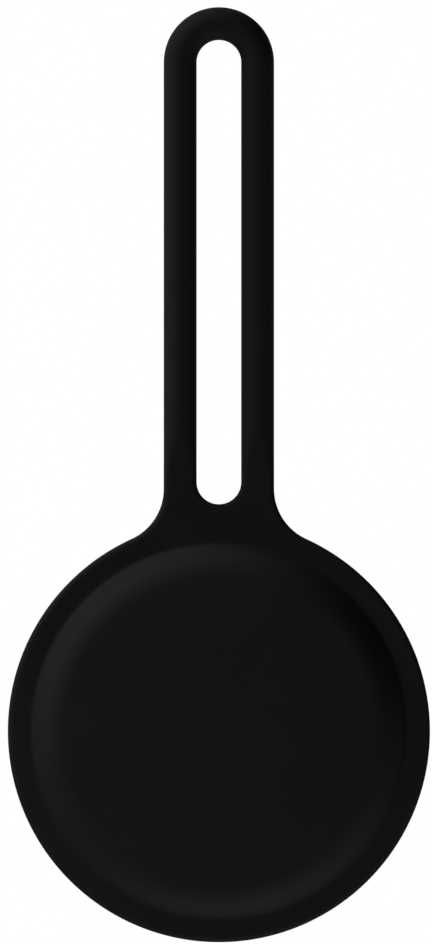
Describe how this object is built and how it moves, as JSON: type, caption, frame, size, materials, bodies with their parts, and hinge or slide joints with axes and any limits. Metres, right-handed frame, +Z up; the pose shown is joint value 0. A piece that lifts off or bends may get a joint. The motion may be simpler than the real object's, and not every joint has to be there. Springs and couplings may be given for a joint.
{
  "type": "tracker tag holder",
  "caption": "Soft black loop holder: a long closed loop and flat neck carry a round domed pocket that grips a disc-shaped tracker tag, seen through a window in front.",
  "frame": {"origin": "highest point inside the loop, on the middle plane, where the holder hangs from a ring or strap", "axes": "+Z up along the loop, +Y from the closed dome to the window, +X to the right when the dome is seen"},
  "size_m": [0.039, 0.0095, 0.0863],
  "materials": {
    "silicone": "matte",
    "white_plastic": "satin",
    "cover_steel": "satin",
    "frame_plastic": "matte",
    "lock_plastic": "matte",
    "seal_rubber": "matte",
    "cell_steel": "satin",
    "gasket_plastic": "matte",
    "cell_paste": "matte",
    "spring_bronze": "satin",
    "board_laminate": "satin",
    "chip_black": "matte",
    "shield_steel": "satin",
    "crystal_metal": "satin",
    "ceramic_brown": "matte",
    "antenna_plastic": "matte",
    "copper": "satin",
    "magnet_nickel": "satin"
  },
  "bodies": {
    "loop": {"strap_loop": "silicone"},
    "holder": {"holder_cup": "silicone", "neck": "silicone", "window_lip": "silicone"},
    "cover": {"battery_cover": "cover_steel", "cover_lock_ring": "lock_plastic"},
    "tag": {"tag_shell": "white_plastic", "battery_frame": "frame_plastic", "cover_seal": "seal_rubber", "cell_can": "cell_steel", "cell_gasket": "gasket_plastic", "cell_cap": "cell_steel", "cell_electrodes": "cell_paste", "positive_contacts": "spring_bronze", "negative_contact": "spring_bronze", "circuit_board": "board_laminate", "radio_chip": "chip_black", "ranging_module": "shield_steel", "memory_chip": "chip_black", "motion_sensor": "chip_black", "board_crystals": "crystal_metal", "board_passives": "ceramic_brown", "antenna_carrier": "antenna_plastic", "antenna_strips": "copper", "sounder_pot": "cell_steel", "sounder_magnet": "magnet_nickel", "sounder_pole_plate": "cell_steel", "sounder_coil": "copper"}
  },
  "joints": [
    {"name": "neck_flex", "type": "hinge", "parent": "loop", "child": "holder", "pos_m": [0, 0, -0.04074], "axis": [1, 0, 0], "range_deg": [-90, 90], "stiffness_Nm_per_rad": 0.0012, "deforming": ["neck"]},
    {"name": "tag_push_out", "type": "slide", "parent": "holder", "child": "tag", "axis": [0, 1, 0], "range_m": [0, 0.014], "deforming": ["window_lip"]},
    {"name": "cover_twist", "type": "hinge", "parent": "tag", "child": "cover", "pos_m": [0, 0, -0.06385], "axis": [0, 1, 0], "range_deg": [0, 30]}
  ]
}
